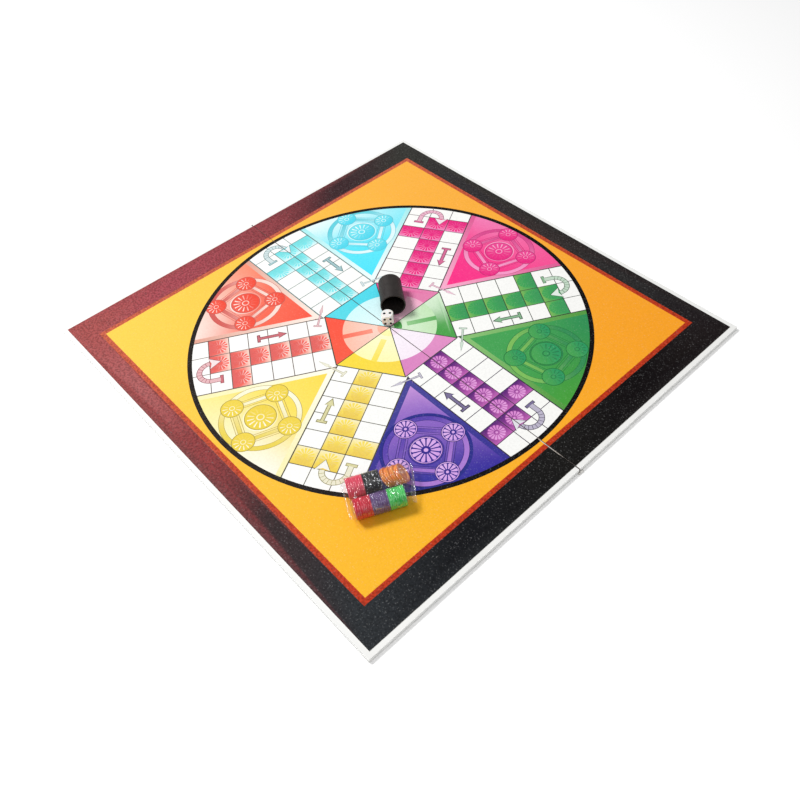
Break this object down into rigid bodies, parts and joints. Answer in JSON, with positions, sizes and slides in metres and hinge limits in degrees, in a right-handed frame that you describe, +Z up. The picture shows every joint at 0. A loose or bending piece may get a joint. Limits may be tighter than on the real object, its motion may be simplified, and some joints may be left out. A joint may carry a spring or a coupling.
{
  "type": "folding ludo board with kit",
  "caption": "Two-leaf folding ludo board lying open, printed on top and hinged by tape underneath, with a dice cup, a die and a film bag of playing tokens.",
  "frame": {"origin": "centre of the open board's footprint, on the plane of its underside, on the fold line", "axes": "+X along the fold, +Y across the fold towards the rear leaf, +Z up out of the printed side"},
  "size_m": [0.505, 0.48, 0.0305],
  "materials": {
    "greyboard": "matt grey chipboard",
    "white_wrap": "smooth white wrapping paper",
    "back_liner": "matt white lining paper",
    "printed_sheet": "laminated colour print with a fine leather grain",
    "hinge_tape": "white woven cloth tape",
    "cup_plastic": "satin black moulded plastic",
    "die_plastic": "white plastic with black pips",
    "bag_film": "clear polypropylene film",
    "red_token_plastic": "red moulded plastic",
    "purple_token_plastic": "purple moulded plastic",
    "green_token_plastic": "green moulded plastic",
    "pink_token_plastic": "pink moulded plastic",
    "black_token_plastic": "black moulded plastic",
    "orange_token_plastic": "orange moulded plastic"
  },
  "bodies": {
    "rear_leaf": {"rear_core_board": "greyboard", "rear_wrap": "white_wrap", "rear_back_liner": "back_liner", "rear_print_sheet": "printed_sheet", "rear_hinge_tape": "hinge_tape"},
    "front_leaf": {"front_core_board": "greyboard", "front_wrap": "white_wrap", "front_back_liner": "back_liner", "front_print_sheet": "printed_sheet", "front_hinge_tape": "hinge_tape"},
    "cup": {"dice_cup": "cup_plastic"},
    "die": {"die": "die_plastic"},
    "token_pack": {"token_bag": "bag_film", "red_token_1": "red_token_plastic", "red_token_2": "red_token_plastic", "red_token_3": "red_token_plastic", "red_token_4": "red_token_plastic", "purple_token_1": "purple_token_plastic", "purple_token_2": "purple_token_plastic", "purple_token_3": "purple_token_plastic", "purple_token_4": "purple_token_plastic", "green_token_1": "green_token_plastic", "green_token_2": "green_token_plastic", "green_token_3": "green_token_plastic", "green_token_4": "green_token_plastic", "pink_token_1": "pink_token_plastic", "pink_token_2": "pink_token_plastic", "pink_token_3": "pink_token_plastic", "pink_token_4": "pink_token_plastic", "black_token_1": "black_token_plastic", "black_token_2": "black_token_plastic", "black_token_3": "black_token_plastic", "black_token_4": "black_token_plastic", "orange_token_1": "orange_token_plastic", "orange_token_2": "orange_token_plastic", "orange_token_3": "orange_token_plastic", "orange_token_4": "orange_token_plastic"}
  },
  "joints": [
    {"name": "board_fold", "type": "hinge", "parent": "rear_leaf", "child": "front_leaf", "pos_m": [0, 0, -0.00015], "axis": [1, 0, 0], "range_deg": [0, 180]},
    {"name": "cup_lift", "type": "slide", "parent": "rear_leaf", "child": "cup", "axis": [0, 0, 1], "range_m": [0, 0.06]},
    {"name": "die_lift", "type": "slide", "parent": "rear_leaf", "child": "die", "axis": [0, 0, 1], "range_m": [0, 0.06]},
    {"name": "bag_lift", "type": "slide", "parent": "front_leaf", "child": "token_pack", "axis": [0, 0, 1], "range_m": [0, 0.06]}
  ]
}
